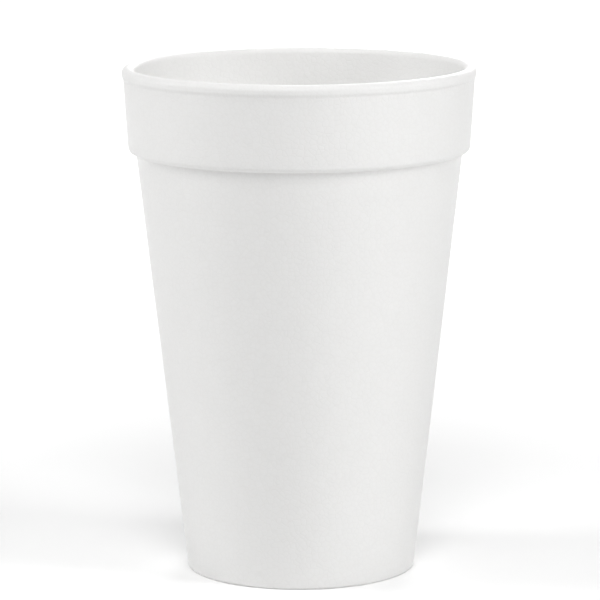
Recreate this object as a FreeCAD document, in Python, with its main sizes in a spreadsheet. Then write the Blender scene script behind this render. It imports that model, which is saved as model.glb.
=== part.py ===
import FreeCAD, Part
import math
import os

import Sketcher

# Disposable foam cup, moulded in one piece from expanded polystyrene beads.
#
# The cup stands on its foot ring at Z = 0, with its axis on +Z. Its wall is one revolved
# half section. From the foot a thin tapered body wall rises to a stacking ledge. Above the
# ledge the wall is thickened outwards into a collar, which ends in a round rim with a bead
# for a lid. The inside is one plain taper, so cups nest, with the ledge of one on the rim
# of the next. That sets the ledge's height: it is where the body wall is still as far
# inside the mouth as the stacking clearance. Under the floor is a shallow recess, and in
# its middle is the round mark of the nozzle that filled the mould.
#
# Lengths are in millimetres, and angles in degrees.

PART_NAME = "foam_cup"
PARTS_FOLDER = "parts"
SHEET_NAME = "Sizes"

# Driving dimensions: alias, value, what it is.
SIZES = (
    ("Height", 135.0, "foot plane to the crest of the rim"),
    ("RimDiameter", 94.0, "outside of the bead at the rim"),
    ("RimWidth", 3.2, "mouth of the inside taper to the outside of the bead"),
    ("BeadFace", 0.5, "straight outside face of the bead"),
    ("BeadOverhang", 0.4, "bead, proud of the collar wall below it"),
    ("BeadUndersideRadius", 1.2, "curl of the bead back towards the collar wall"),
    ("BeadRootRadius", 1.0, "hollow between the bead and the collar wall"),
    ("WallThickness", 2.2, "body wall, square to its faces"),
    ("StackClearance", 0.4, "body wall at the ledge to the mouth of the cup below"),
    ("LedgeWidth", 2.0, "stacking ledge, from the body wall to the collar wall"),
    ("LedgeRootRadius", 0.4, "fillet between the ledge and the body wall"),
    ("CollarEdgeRadius", 1.2, "lower outside edge of the collar"),
    ("FootDiameter", 60.8, "outside of the body wall at the foot plane"),
    ("FootEdgeRadius", 0.8, "outside edge of the foot ring"),
    ("FootRingWidth", 3.6, "foot ring that the cup stands on"),
    ("RecessDepth", 2.5, "recess under the floor"),
    ("RecessDraft", 12.0, "angle of the recess wall to the axis, in degrees"),
    ("RecessEdgeRadius", 0.6, "mouth and corner of the recess"),
    ("FloorThickness", 3.0, "floor above the recess"),
    ("FloorCornerRadius", 3.0, "inside corner between the floor and the wall"),
    ("FillMarkDiameter", 9.0, "mark of the bead filling nozzle"),
    ("FillMarkHeight", 0.4, "fill mark, proud of the recess"),
)

# Sketcher's numbers for a piece of geometry's points and for the sketch's own axes.
START, END, CENTRE = 1, 2, 3
ORIGIN = (-1, START)
CUP_AXIS = -2


def add_sizes(doc):
    """Spreadsheet of the driving dimensions, one alias to a row."""
    sheet = doc.addObject("Spreadsheet::Sheet", SHEET_NAME)
    for row, (alias, value, meaning) in enumerate(SIZES, start=1):
        sheet.set(f"A{row}", alias)
        sheet.set(f"B{row}", str(value))
        sheet.set(f"C{row}", meaning)
        sheet.setAlias(f"B{row}", alias)
    doc.recompute()
    return sheet


def add_sketch(body, name, plane_role):
    """Empty sketch on one of the body's own origin planes."""
    plane = next(p for p in body.Origin.OriginFeatures if p.Role == plane_role)
    sketch = body.newObject("Sketcher::SketchObject", name)
    sketch.AttachmentSupport = [(plane, "")]
    sketch.MapMode = "FlatFace"
    body.Document.recompute()
    return sketch


def set_size(sketch, name, kind, places, formula):
    """Dimensional constraint that follows a formula of the sheet's sizes."""
    value = float(sketch.evalExpression(formula))
    index = sketch.addConstraint(Sketcher.Constraint(kind, *places, value))
    sketch.renameConstraint(index, name)
    sketch.setExpression(f"Constraints.{name}", formula)


def relate(sketch, kind, *places):
    """Geometric constraint, such as a tangency between two ends."""
    sketch.addConstraint(Sketcher.Constraint(kind, *places))


def add_chain(sketch, corners):
    """Lines from corner to corner, each joined to the next. Returns their numbers."""
    lines = []
    for (r_from, z_from), (r_to, z_to) in zip(corners, corners[1:]):
        line = Part.LineSegment(
            FreeCAD.Vector(r_from, z_from, 0), FreeCAD.Vector(r_to, z_to, 0)
        )
        lines.append(sketch.addGeometry(line, False))
    for lower, upper in zip(lines, lines[1:]):
        relate(sketch, "Coincident", lower, END, upper, START)
    return lines


def add_arc(sketch, centre_r, centre_z, radius, start_deg, end_deg):
    """Anticlockwise arc between two directions. Returns its number."""
    circle = Part.Circle(
        FreeCAD.Vector(centre_r, centre_z, 0), FreeCAD.Vector(0, 0, 1), radius
    )
    arc = Part.ArcOfCircle(circle, math.radians(start_deg), math.radians(end_deg))
    return sketch.addGeometry(arc, False)


def draw_wall_section(body, sheet):
    """Half section of the wall and floor, drawn near its shape and fixed by constraints.

    Returns the sketch and, by name, the corners that are rounded later. The sketch's
    first coordinate is the radius and its second is the height.
    """
    sketch = add_sketch(body, "wall_section", "XZ_Plane")
    rim = sheet.RimDiameter / 2
    mouth = rim - sheet.RimWidth
    foot = sheet.FootDiameter / 2
    bore = foot - sheet.WallThickness
    slope = (mouth - bore) / sheet.Height
    shoulder = mouth - sheet.StackClearance
    ledge_z = (shoulder - foot) / slope
    crest_radius = sheet.RimWidth / 2
    crest_z = sheet.Height - crest_radius
    face_z = crest_z - sheet.BeadFace
    neck = rim - sheet.BeadOverhang
    neck_z = face_z - sheet.BeadUndersideRadius
    floor_z = sheet.RecessDepth + sheet.FloorThickness

    base, outside, ledge, collar_wall = add_chain(
        sketch,
        [
            (0, 0),
            (foot, 0),
            (shoulder, ledge_z),
            (shoulder + sheet.LedgeWidth, ledge_z),
            (neck, neck_z),
        ],
    )
    root = add_arc(
        sketch, neck + sheet.BeadRootRadius, neck_z, sheet.BeadRootRadius, 135, 180
    )
    underside = add_arc(
        sketch, rim - sheet.BeadUndersideRadius, face_z, sheet.BeadUndersideRadius, -45, 0
    )
    (face,) = add_chain(sketch, [(rim, face_z), (rim, crest_z)])
    crest_outside = add_arc(sketch, rim - crest_radius, crest_z, crest_radius, 0, 90)
    crest_inside = add_arc(sketch, rim - crest_radius, crest_z, crest_radius, 90, 175)
    inside, floor, axis = add_chain(
        sketch, [(mouth, crest_z), (bore, floor_z), (0, floor_z), (0, 0)]
    )
    mouth_point = (
        sketch.addGeometry(Part.Point(FreeCAD.Vector(mouth, sheet.Height, 0)), True),
        START,
    )
    crest_point = (crest_outside, END)

    relate(sketch, "Coincident", base, START, *ORIGIN)
    relate(sketch, "Coincident", axis, END, *ORIGIN)
    relate(sketch, "PointOnObject", axis, START, CUP_AXIS)
    for level in (base, ledge, floor):
        relate(sketch, "Horizontal", level)
    relate(sketch, "Vertical", face)
    relate(sketch, "Parallel", inside, outside)
    relate(sketch, "Tangent", collar_wall, END, root, END)
    relate(sketch, "Tangent", root, START, underside, START)
    relate(sketch, "Tangent", underside, END, face, START)
    relate(sketch, "Tangent", face, END, crest_outside, START)
    relate(sketch, "Tangent", *crest_point, crest_inside, START)
    relate(sketch, "Tangent", crest_inside, END, inside, START)
    relate(sketch, "Equal", crest_outside, crest_inside)
    relate(sketch, "Vertical", crest_outside, CENTRE, *crest_point)
    relate(sketch, "PointOnObject", *mouth_point, inside)
    relate(sketch, "Horizontal", *mouth_point, *crest_point)

    across, up = "DistanceX", "DistanceY"
    floor_height = "Sizes.RecessDepth + Sizes.FloorThickness"
    for name, kind, places, formula in (
        ("top", up, (*ORIGIN, *crest_point), "Sizes.Height"),
        ("rim", across, (*ORIGIN, face, START), "Sizes.RimDiameter / 2"),
        ("foot", across, (*ORIGIN, base, END), "Sizes.FootDiameter / 2"),
        ("rim_width", across, (*mouth_point, face, END), "Sizes.RimWidth"),
        ("wall", "Distance", (inside, END, outside), "Sizes.WallThickness"),
        ("clearance", across, (ledge, START, *mouth_point), "Sizes.StackClearance"),
        ("ledge_width", across, (ledge, START, ledge, END), "Sizes.LedgeWidth"),
        ("overhang", across, (collar_wall, END, face, START), "Sizes.BeadOverhang"),
        ("hollow", "Radius", (root,), "Sizes.BeadRootRadius"),
        ("curl", "Radius", (underside,), "Sizes.BeadUndersideRadius"),
        ("bead_face", up, (face, START, face, END), "Sizes.BeadFace"),
        ("floor_height", up, (*ORIGIN, floor, END), floor_height),
    ):
        set_size(sketch, name, kind, places, formula)
    body.Document.recompute()
    corners = {
        "collar_edge": sketch.getPoint(ledge, END),
        "ledge_root": sketch.getPoint(ledge, START),
        "foot_edge": sketch.getPoint(base, END),
        "floor_corner": sketch.getPoint(floor, START),
    }
    return sketch, corners


def revolve(body, name, sketch):
    """Full turn of a half section about the cup's axis."""
    turn = body.newObject("PartDesign::Revolution", name)
    turn.Profile = sketch
    turn.ReferenceAxis = (sketch, ["V_Axis"])
    turn.Angle = 360
    body.Document.recompute()


def draw_disc(body, name, diameter_formula, height_formula):
    """Round sketch on the cup's axis, in the plane at a given height."""
    sketch = add_sketch(body, name, "XY_Plane")
    sketch.setExpression("AttachmentOffset.Base.z", height_formula)
    circle = sketch.addGeometry(
        Part.Circle(
            FreeCAD.Vector(0, 0, 0),
            FreeCAD.Vector(0, 0, 1),
            float(sketch.evalExpression(diameter_formula)) / 2,
        ),
        False,
    )
    relate(sketch, "Coincident", circle, CENTRE, *ORIGIN)
    set_size(sketch, "diameter", "Diameter", (circle,), diameter_formula)
    body.Document.recompute()
    return sketch


def cut_recess(body):
    """Shallow drafted recess under the floor, which leaves the foot ring standing."""
    before = body.Shape.Volume
    mouth = draw_disc(
        body, "recess_mouth", "Sizes.FootDiameter - 2 * Sizes.FootRingWidth", "0"
    )
    recess = body.newObject("PartDesign::Pocket", "foot_recess")
    recess.Profile = mouth
    recess.Reversed = True
    recess.setExpression("Length", "Sizes.RecessDepth")
    recess.setExpression("TaperAngle", "-Sizes.RecessDraft")
    body.Document.recompute()
    if body.Shape.Volume >= before:
        raise ValueError("the foot recess cut nothing")


def add_fill_mark(body):
    """Low round pip in the middle of the recess, where the mould was filled."""
    before = body.Shape.Volume
    outline = draw_disc(
        body, "fill_mark_outline", "Sizes.FillMarkDiameter", "Sizes.RecessDepth"
    )
    mark = body.newObject("PartDesign::Pad", "fill_mark")
    mark.Profile = outline
    mark.Reversed = True
    mark.setExpression("Length", "Sizes.FillMarkHeight")
    body.Document.recompute()
    if body.Shape.Volume <= before:
        raise ValueError("the fill mark added nothing")


def ring_edge(shape, radius, height):
    """Name of the round edge about the axis that lies nearest that radius and height."""
    rings = []
    for number, edge in enumerate(shape.Edges, start=1):
        if isinstance(edge.Curve, Part.Circle) and edge.isClosed():
            circle = edge.Curve
            miss = math.hypot(circle.Radius - radius, circle.Center.z - height)
            rings.append((miss, f"Edge{number}"))
    return min(rings)[1]


def round_rings(body, name, rings, radius_alias):
    """Fillet on the round edges at the given (radius, height) places."""
    base = body.Tip
    names = [ring_edge(base.Shape, radius, height) for radius, height in rings]
    fillet = body.newObject("PartDesign::Fillet", name)
    fillet.Base = (base, names)
    fillet.setExpression("Radius", f"{SHEET_NAME}.{radius_alias}")
    body.Document.recompute()


def round_all(body, sheet, corners):
    """Every fillet of the moulding."""
    for name, radius_alias in (
        ("collar_edge", "CollarEdgeRadius"),
        ("ledge_root", "LedgeRootRadius"),
        ("foot_edge", "FootEdgeRadius"),
        ("floor_corner", "FloorCornerRadius"),
    ):
        round_rings(body, name, [(corners[name].x, corners[name].y)], radius_alias)
    mouth = sheet.FootDiameter / 2 - sheet.FootRingWidth
    lean = sheet.RecessDepth * math.tan(math.radians(sheet.RecessDraft))
    recess_rings = [(mouth, 0), (mouth - lean, sheet.RecessDepth)]
    round_rings(body, "recess_edges", recess_rings, "RecessEdgeRadius")


def build_cup(doc, sheet):
    """The whole cup as one body."""
    body = doc.addObject("PartDesign::Body", PART_NAME)
    body.Label = PART_NAME
    section, corners = draw_wall_section(body, sheet)
    revolve(body, "moulded_wall", section)
    cut_recess(body)
    add_fill_mark(body)
    round_all(body, sheet, corners)
    return body


def check(doc, body):
    """Stops on a failed object, a loose sketch or a shape that is not one solid."""
    for item in doc.Objects:
        if "Invalid" in item.State or "Error" in item.State:
            raise ValueError(f"{item.Label} failed: {item.State}")
        if item.isDerivedFrom("Sketcher::SketchObject") and not item.FullyConstrained:
            raise ValueError(f"{item.Label} is not fully constrained")
    shape = body.Shape
    if shape.isNull() or not shape.isValid() or len(shape.Solids) != 1:
        raise ValueError(f"{body.Label} is not one valid solid")


def main():
    doc = FreeCAD.newDocument(PART_NAME)
    sheet = add_sizes(doc)
    body = build_cup(doc, sheet)
    doc.recompute()
    check(doc, body)
    os.makedirs(PARTS_FOLDER, exist_ok=True)
    body.Shape.exportStep(os.path.join(PARTS_FOLDER, f"{body.Label}.step"))
    print(f"{body.Label}: {body.Shape.Volume / 1000:.2f} cm3")


main()
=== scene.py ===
import math

import bpy
from mathutils import Matrix, Vector, noise


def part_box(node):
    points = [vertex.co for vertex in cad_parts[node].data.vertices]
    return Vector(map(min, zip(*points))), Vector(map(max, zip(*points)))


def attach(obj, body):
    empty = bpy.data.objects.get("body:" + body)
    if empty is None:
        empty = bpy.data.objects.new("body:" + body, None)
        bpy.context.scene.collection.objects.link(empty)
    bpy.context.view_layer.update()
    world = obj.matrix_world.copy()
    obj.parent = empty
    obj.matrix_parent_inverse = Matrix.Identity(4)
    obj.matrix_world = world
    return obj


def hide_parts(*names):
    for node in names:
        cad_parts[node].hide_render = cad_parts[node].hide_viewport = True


# A white foam cup on a white studio floor. Lengths are in metres and angles in degrees.

CUP_NODE = "foam_cup"

# The cup's rim bead, wall and foot. The height and the rim's radius come from the frame.
RIM_WIDTH = 0.0032
BEAD_FACE = 0.0005
BEAD_OVERHANG = 0.0004
BEAD_UNDERSIDE_RADIUS = 0.0012
BEAD_ROOT_RADIUS = 0.001
BEAD_SLOPE = 35.0
WALL = 0.0022
STACK_CLEARANCE = 0.0004
LEDGE_WIDTH = 0.002
LEDGE_ROOT_RADIUS = 0.0004
COLLAR_EDGE_RADIUS = 0.0015
FOOT_RADIUS = 0.0304
FOOT_EDGE_RADIUS = 0.0008
FOOT_RING_WIDTH = 0.0036
RECESS_DEPTH = 0.0025
RECESS_DRAFT = 12.0
RECESS_EDGE_RADIUS = 0.0006
FLOOR_THICKNESS = 0.003
FLOOR_CORNER_RADIUS = 0.003
FILL_MARK_RADIUS = 0.0045
FILL_MARK_HEIGHT = 0.0004
FILL_MARK_EDGE = 0.0001

# How finely the wall is drawn.
SEGMENTS = 320
OUTLINE_STEP = 0.0018
ARC_STEP = 9.0

# Moulded foam is never quite true: hollows this deep, and about this far apart.
HOLLOW_DEPTH = 0.00006
HOLLOW_SPACING = 0.018

# The camera stands in front of the cup, on -Y, and looks down at it.
CAMERA_DISTANCE = 1.016
CAMERA_HEIGHT = 0.2466
CAMERA_PITCH = 9.748
CAMERA_ROLL = -0.235
LENS = 231.6
SENSOR = 36.0

# The floor, whose glow rises from this strength to white between the two distances.
FLOOR_SIZE = 8.0
FLOOR_COLOUR = (0.92, 0.92, 0.92, 1)
FLOOR_ROUGHNESS = 0.9
NEAR_GLOW = 0.18
GLOW_REACH = (0.15, 0.8)

# The foam's grains, which are its fused beads: their size, how unevenly they lie, the
# seams' width as a share of that size, and how far they swell out. Some stand proud of
# the rest, by up to the last share of that swelling.
GRAIN_SIZE = 0.0015
GRAIN_UNEVENNESS = 0.85
SEAM_SHARE = 0.12
GRAIN_RELIEF = 0.00002
PROUD_SHARE = 0.5

# Broader patches that differ a little, and the span that most of their noise lies in.
PATCH_SIZE = 0.012
PATCH_SPAN = (0.3, 0.7)

# The foam's colour, what the darkest grain, seam and patch leave of it, and its finish.
FOAM_COLOUR = (0.97, 0.967, 0.957, 1)
DARK_GRAIN = 0.992
DARK_SEAM = 0.98
DARK_PATCH = 0.99
FOAM_ROUGHNESS = (0.36, 0.48)
FOAM_SPECULAR = 0.2

# Soft boxes: name, azimuth, elevation, width, height and watts. Azimuth 0 is beside the
# camera, and 90 is to its right. All stand equally far from a point on the cup's axis.
LAMPS = [
    ("left", -88, 28, 0.4, 0.8, 6.0),
    ("right", 65, 28, 0.4, 0.8, 5.8),
    ("front", 0, 46, 0.4, 0.8, 5.6),
    ("back", 170, 27, 0.4, 0.8, 5.2),
    ("top", 0, 84, 0.4, 0.4, 1.8),
]
LAMP_DISTANCE = 1.2
LAMP_AIM = 0.07


def rounding(before, corner, after, radius):
    """Points along the arc that rounds one corner of an outline."""
    arrive = (corner - before).normalized()
    leave = (after - corner).normalized()
    turn = math.atan2(arrive.cross(leave), arrive.dot(leave))
    start = corner - arrive * radius * math.tan(abs(turn) / 2)
    inward = Vector((-arrive.y, arrive.x)) * math.copysign(radius, turn)
    centre = start + inward
    steps = math.ceil(abs(turn) / math.radians(ARC_STEP))
    return [
        centre + Matrix.Rotation(turn * step / steps, 2) @ (start - centre)
        for step in range(steps + 1)
    ]


def smooth_outline(corners):
    """Close points along a chain of (radius, height, rounding) corners."""
    places = [Vector(corner[:2]) for corner in corners]
    bends = [places[0]]
    for index in range(1, len(corners) - 1):
        bends += rounding(*places[index - 1 : index + 2], corners[index][2])
    bends.append(places[-1])
    points = [bends[0]]
    for start, end in zip(bends, bends[1:]):
        steps = math.ceil((end - start).length / OUTLINE_STEP)
        points += [start.lerp(end, step / steps) for step in range(1, steps + 1)]
    return points


def cup_corners(rim, height):
    """Corners of the cup's half section, from the axis under the foot to the axis inside."""
    mouth = rim - RIM_WIDTH
    taper = math.atan2(mouth - FOOT_RADIUS + WALL, height)
    slope = math.tan(taper)
    bore = mouth - slope * height
    shoulder = mouth - STACK_CLEARANCE
    ledge_z = (shoulder - bore - WALL / math.cos(taper)) / slope
    crest_radius = RIM_WIDTH / (1 + math.tan((math.pi / 2 - taper) / 2))
    bend = math.tan(math.radians(BEAD_SLOPE / 2))
    bead_z = height - crest_radius - BEAD_FACE - BEAD_UNDERSIDE_RADIUS * bend
    neck_z = bead_z - BEAD_OVERHANG / math.tan(math.radians(BEAD_SLOPE))
    recess = FOOT_RADIUS - FOOT_RING_WIDTH
    recess_top = recess - RECESS_DEPTH * math.tan(math.radians(RECESS_DRAFT))
    mark_z = RECESS_DEPTH - FILL_MARK_HEIGHT
    floor_z = RECESS_DEPTH + FLOOR_THICKNESS
    return [
        (0, mark_z, 0),
        (FILL_MARK_RADIUS, mark_z, FILL_MARK_EDGE),
        (FILL_MARK_RADIUS, RECESS_DEPTH, FILL_MARK_EDGE),
        (recess_top, RECESS_DEPTH, RECESS_EDGE_RADIUS),
        (recess, 0, RECESS_EDGE_RADIUS),
        (FOOT_RADIUS, 0, FOOT_EDGE_RADIUS),
        (shoulder, ledge_z, LEDGE_ROOT_RADIUS),
        (shoulder + LEDGE_WIDTH, ledge_z, COLLAR_EDGE_RADIUS),
        (rim - BEAD_OVERHANG, neck_z, BEAD_ROOT_RADIUS),
        (rim, bead_z, BEAD_UNDERSIDE_RADIUS),
        (rim, height, crest_radius),
        (mouth, height, crest_radius),
        (bore + slope * floor_z, floor_z, FLOOR_CORNER_RADIUS),
        (0, floor_z, 0),
    ]


def turned_mesh(name, outline):
    """Closed mesh of an outline turned about Z, whose two ends lie on the axis."""
    turns = [math.tau * k / SEGMENTS for k in range(SEGMENTS)]
    rings = outline[1:-1]
    points = [(0, 0, outline[0].y)]
    for place in rings:
        points += [
            (place.x * math.cos(turn), place.x * math.sin(turn), place.y) for turn in turns
        ]
    points.append((0, 0, outline[-1].y))
    last = len(points) - 1

    faces = []
    for k in range(SEGMENTS):
        following = (k + 1) % SEGMENTS
        faces.append((0, 1 + following, 1 + k))
        for ring in range(len(rings) - 1):
            low = 1 + ring * SEGMENTS
            high = low + SEGMENTS
            faces.append((low + k, low + following, high + following, high + k))
        top = last - SEGMENTS
        faces.append((top + k, top + following, last))
    mesh = bpy.data.meshes.new(name)
    mesh.from_pydata(points, [], faces)
    mesh.shade_smooth()
    return mesh


def press_hollows(mesh):
    """Sinks the surface a little, unevenly, as in real moulded foam."""
    mesh.update()
    normals = [vertex.normal.copy() for vertex in mesh.vertices]
    for vertex, normal in zip(mesh.vertices, normals):
        height = noise.noise(vertex.co / HOLLOW_SPACING)
        vertex.co -= normal * HOLLOW_DEPTH * (0.5 - 0.5 * height)


def make_cup(rim, height, material):
    """The whole cup, which is one moulding."""
    outline = smooth_outline(cup_corners(rim, height))
    mesh = turned_mesh("cup_moulding", outline)
    press_hollows(mesh)
    mesh.materials.append(material)
    cup = bpy.data.objects.new("cup_moulding", mesh)
    bpy.context.scene.collection.objects.link(cup)
    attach(cup, "root")
    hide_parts(CUP_NODE)


def between(nodes, links, value, low, high, from_low=0.0, from_high=1.0):
    """Value stretched onto another range."""
    stretch = nodes.new("ShaderNodeMapRange")
    links.new(value, stretch.inputs["Value"])
    stretch.inputs["From Min"].default_value = from_low
    stretch.inputs["From Max"].default_value = from_high
    stretch.inputs["To Min"].default_value = low
    stretch.inputs["To Max"].default_value = high
    return stretch.outputs["Result"]


def combine(nodes, links, operation, first, second):
    """Result of one maths operation, such as ADD or MAXIMUM, on two values."""
    maths = nodes.new("ShaderNodeMath")
    maths.operation = operation
    links.new(first, maths.inputs[0])
    links.new(second, maths.inputs[1])
    return maths.outputs["Value"]


def grain_pattern(nodes, links, place):
    """Grains that swell between fine seams, with two random values for each grain."""
    seams = nodes.new("ShaderNodeTexVoronoi")
    seams.feature = "DISTANCE_TO_EDGE"
    cells = nodes.new("ShaderNodeTexVoronoi")
    for pattern in (seams, cells):
        pattern.inputs["Scale"].default_value = 1 / GRAIN_SIZE
        pattern.inputs["Randomness"].default_value = GRAIN_UNEVENNESS
        links.new(place, pattern.inputs["Vector"])
    swell = nodes.new("ShaderNodeMapRange")
    swell.interpolation_type = "SMOOTHSTEP"
    swell.inputs["From Max"].default_value = SEAM_SHARE
    links.new(seams.outputs["Distance"], swell.inputs["Value"])
    drawn = nodes.new("ShaderNodeSeparateColor")
    links.new(cells.outputs["Color"], drawn.inputs["Color"])
    return swell.outputs["Result"], drawn.outputs["Red"], drawn.outputs["Green"]


def foam_material():
    """White expanded polystyrene, with the mosaic of its grains just showing."""
    material = bpy.data.materials.new("white_foam")
    material.use_nodes = True
    nodes, links = material.node_tree.nodes, material.node_tree.links
    shader = nodes["Principled BSDF"]
    place = nodes.new("ShaderNodeTexCoord").outputs["Object"]
    swell, shade, lift = grain_pattern(nodes, links, place)
    noises = nodes.new("ShaderNodeTexNoise")
    noises.inputs["Scale"].default_value = 1 / PATCH_SIZE
    links.new(place, noises.inputs["Vector"])
    patch = noises.outputs["Fac"]

    grain_tone = between(nodes, links, shade, DARK_GRAIN, 1.0)
    seam_tone = between(nodes, links, swell, DARK_SEAM, 1.0)
    patch_tone = between(nodes, links, patch, DARK_PATCH, 1.0, *PATCH_SPAN)
    tone = combine(nodes, links, "MULTIPLY", grain_tone, seam_tone)
    tone = combine(nodes, links, "MULTIPLY", tone, patch_tone)
    colour = nodes.new("ShaderNodeMix")
    colour.data_type = "RGBA"
    colour.inputs["A"].default_value = (0, 0, 0, 1)
    colour.inputs["B"].default_value = FOAM_COLOUR
    links.new(tone, colour.inputs["Factor"])
    links.new(colour.outputs["Result"], shader.inputs["Base Color"])

    rough = between(nodes, links, patch, *FOAM_ROUGHNESS, *PATCH_SPAN)
    links.new(rough, shader.inputs["Roughness"])
    shader.inputs["Specular IOR Level"].default_value = FOAM_SPECULAR

    proud = between(nodes, links, lift, 0.0, PROUD_SHARE)
    bump = nodes.new("ShaderNodeBump")
    bump.inputs["Distance"].default_value = GRAIN_RELIEF
    links.new(combine(nodes, links, "ADD", swell, proud), bump.inputs["Height"])
    links.new(bump.outputs["Normal"], shader.inputs["Normal"])
    return material


def seen_or_mirrored(nodes, links):
    """1 for rays from the camera, or from a shiny or clear surface, and 0 for the rest."""
    path = nodes.new("ShaderNodeLightPath").outputs
    seen = combine(nodes, links, "MAXIMUM", path["Is Camera Ray"], path["Is Glossy Ray"])
    return combine(nodes, links, "MAXIMUM", seen, path["Is Transmission Ray"])


def floor_material():
    """White studio floor. Near the cup it glows less, so the cup's soft shadow shows."""
    material = bpy.data.materials.new("studio_floor")
    material.use_nodes = True
    nodes, links = material.node_tree.nodes, material.node_tree.links
    shader = nodes["Principled BSDF"]
    shader.inputs["Base Color"].default_value = FLOOR_COLOUR
    shader.inputs["Roughness"].default_value = FLOOR_ROUGHNESS
    shader.inputs["Specular IOR Level"].default_value = 0.0
    shader.inputs["Emission Color"].default_value = (1, 1, 1, 1)
    away = nodes.new("ShaderNodeVectorMath")
    away.operation = "LENGTH"
    place = nodes.new("ShaderNodeTexCoord").outputs["Object"]
    links.new(place, away.inputs[0])
    glow = between(nodes, links, away.outputs["Value"], NEAR_GLOW, 1.0, *GLOW_REACH)
    seen = seen_or_mirrored(nodes, links)
    glow = combine(nodes, links, "MULTIPLY", glow, seen)
    links.new(glow, shader.inputs["Emission Strength"])
    return material


def make_floor():
    """Floor that reaches past every edge of the view."""
    mesh = bpy.data.meshes.new("studio_floor")
    half = FLOOR_SIZE / 2
    corners = [(-half, -half, 0), (half, -half, 0), (half, half, 0), (-half, half, 0)]
    mesh.from_pydata(corners, [], [(0, 1, 2, 3)])
    mesh.materials.append(floor_material())
    floor = bpy.data.objects.new("studio_floor", mesh)
    bpy.context.scene.collection.objects.link(floor)


def make_lamp(name, azimuth, elevation, width, height, power):
    """Soft box that faces the cup."""
    light = bpy.data.lights.new(name, "AREA")
    light.shape = "RECTANGLE"
    light.size = width
    light.size_y = height
    light.energy = power
    lamp = bpy.data.objects.new(name, light)
    around, up = math.radians(azimuth), math.radians(elevation)
    away = Vector(
        (math.sin(around) * math.cos(up), -math.cos(around) * math.cos(up), math.sin(up))
    )
    lamp.location = Vector((0, 0, LAMP_AIM)) + away * LAMP_DISTANCE
    lamp.rotation_euler = away.to_track_quat("Z", "Y").to_euler()
    lamp.visible_camera = False
    bpy.context.scene.collection.objects.link(lamp)


def make_world():
    """White behind the cup, which sheds no light on it."""
    world = bpy.data.worlds.new("studio")
    bpy.context.scene.world = world
    world.use_nodes = True
    nodes, links = world.node_tree.nodes, world.node_tree.links
    background = nodes["Background"]
    background.inputs["Color"].default_value = (1, 1, 1, 1)
    links.new(seen_or_mirrored(nodes, links), background.inputs["Strength"])


def make_camera():
    """Camera at the height and distance from which the cup was seen."""
    data = bpy.data.cameras.new("camera")
    data.lens = LENS
    data.sensor_width = SENSOR
    camera = bpy.data.objects.new("camera", data)
    camera.location = (0, -CAMERA_DISTANCE, CAMERA_HEIGHT)
    tilt = Matrix.Rotation(math.radians(90 - CAMERA_PITCH), 3, "X")
    roll = Matrix.Rotation(math.radians(CAMERA_ROLL), 3, "Z")
    camera.rotation_euler = (tilt @ roll).to_euler()
    bpy.context.scene.collection.objects.link(camera)
    bpy.context.scene.camera = camera


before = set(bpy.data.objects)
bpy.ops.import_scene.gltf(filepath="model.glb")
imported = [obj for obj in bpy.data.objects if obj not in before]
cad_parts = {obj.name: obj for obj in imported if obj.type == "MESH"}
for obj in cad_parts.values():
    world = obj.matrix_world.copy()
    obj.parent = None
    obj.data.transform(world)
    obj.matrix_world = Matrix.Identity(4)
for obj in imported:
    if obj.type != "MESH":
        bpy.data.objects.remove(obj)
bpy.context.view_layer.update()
low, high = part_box(CUP_NODE)
rim_radius = min(high.x, high.y, -low.x, -low.y)
make_cup(rim_radius, high.z, foam_material())
make_floor()
for lamp in LAMPS:
    make_lamp(*lamp)
make_world()
make_camera()
bpy.context.scene.view_settings.view_transform = "Standard"
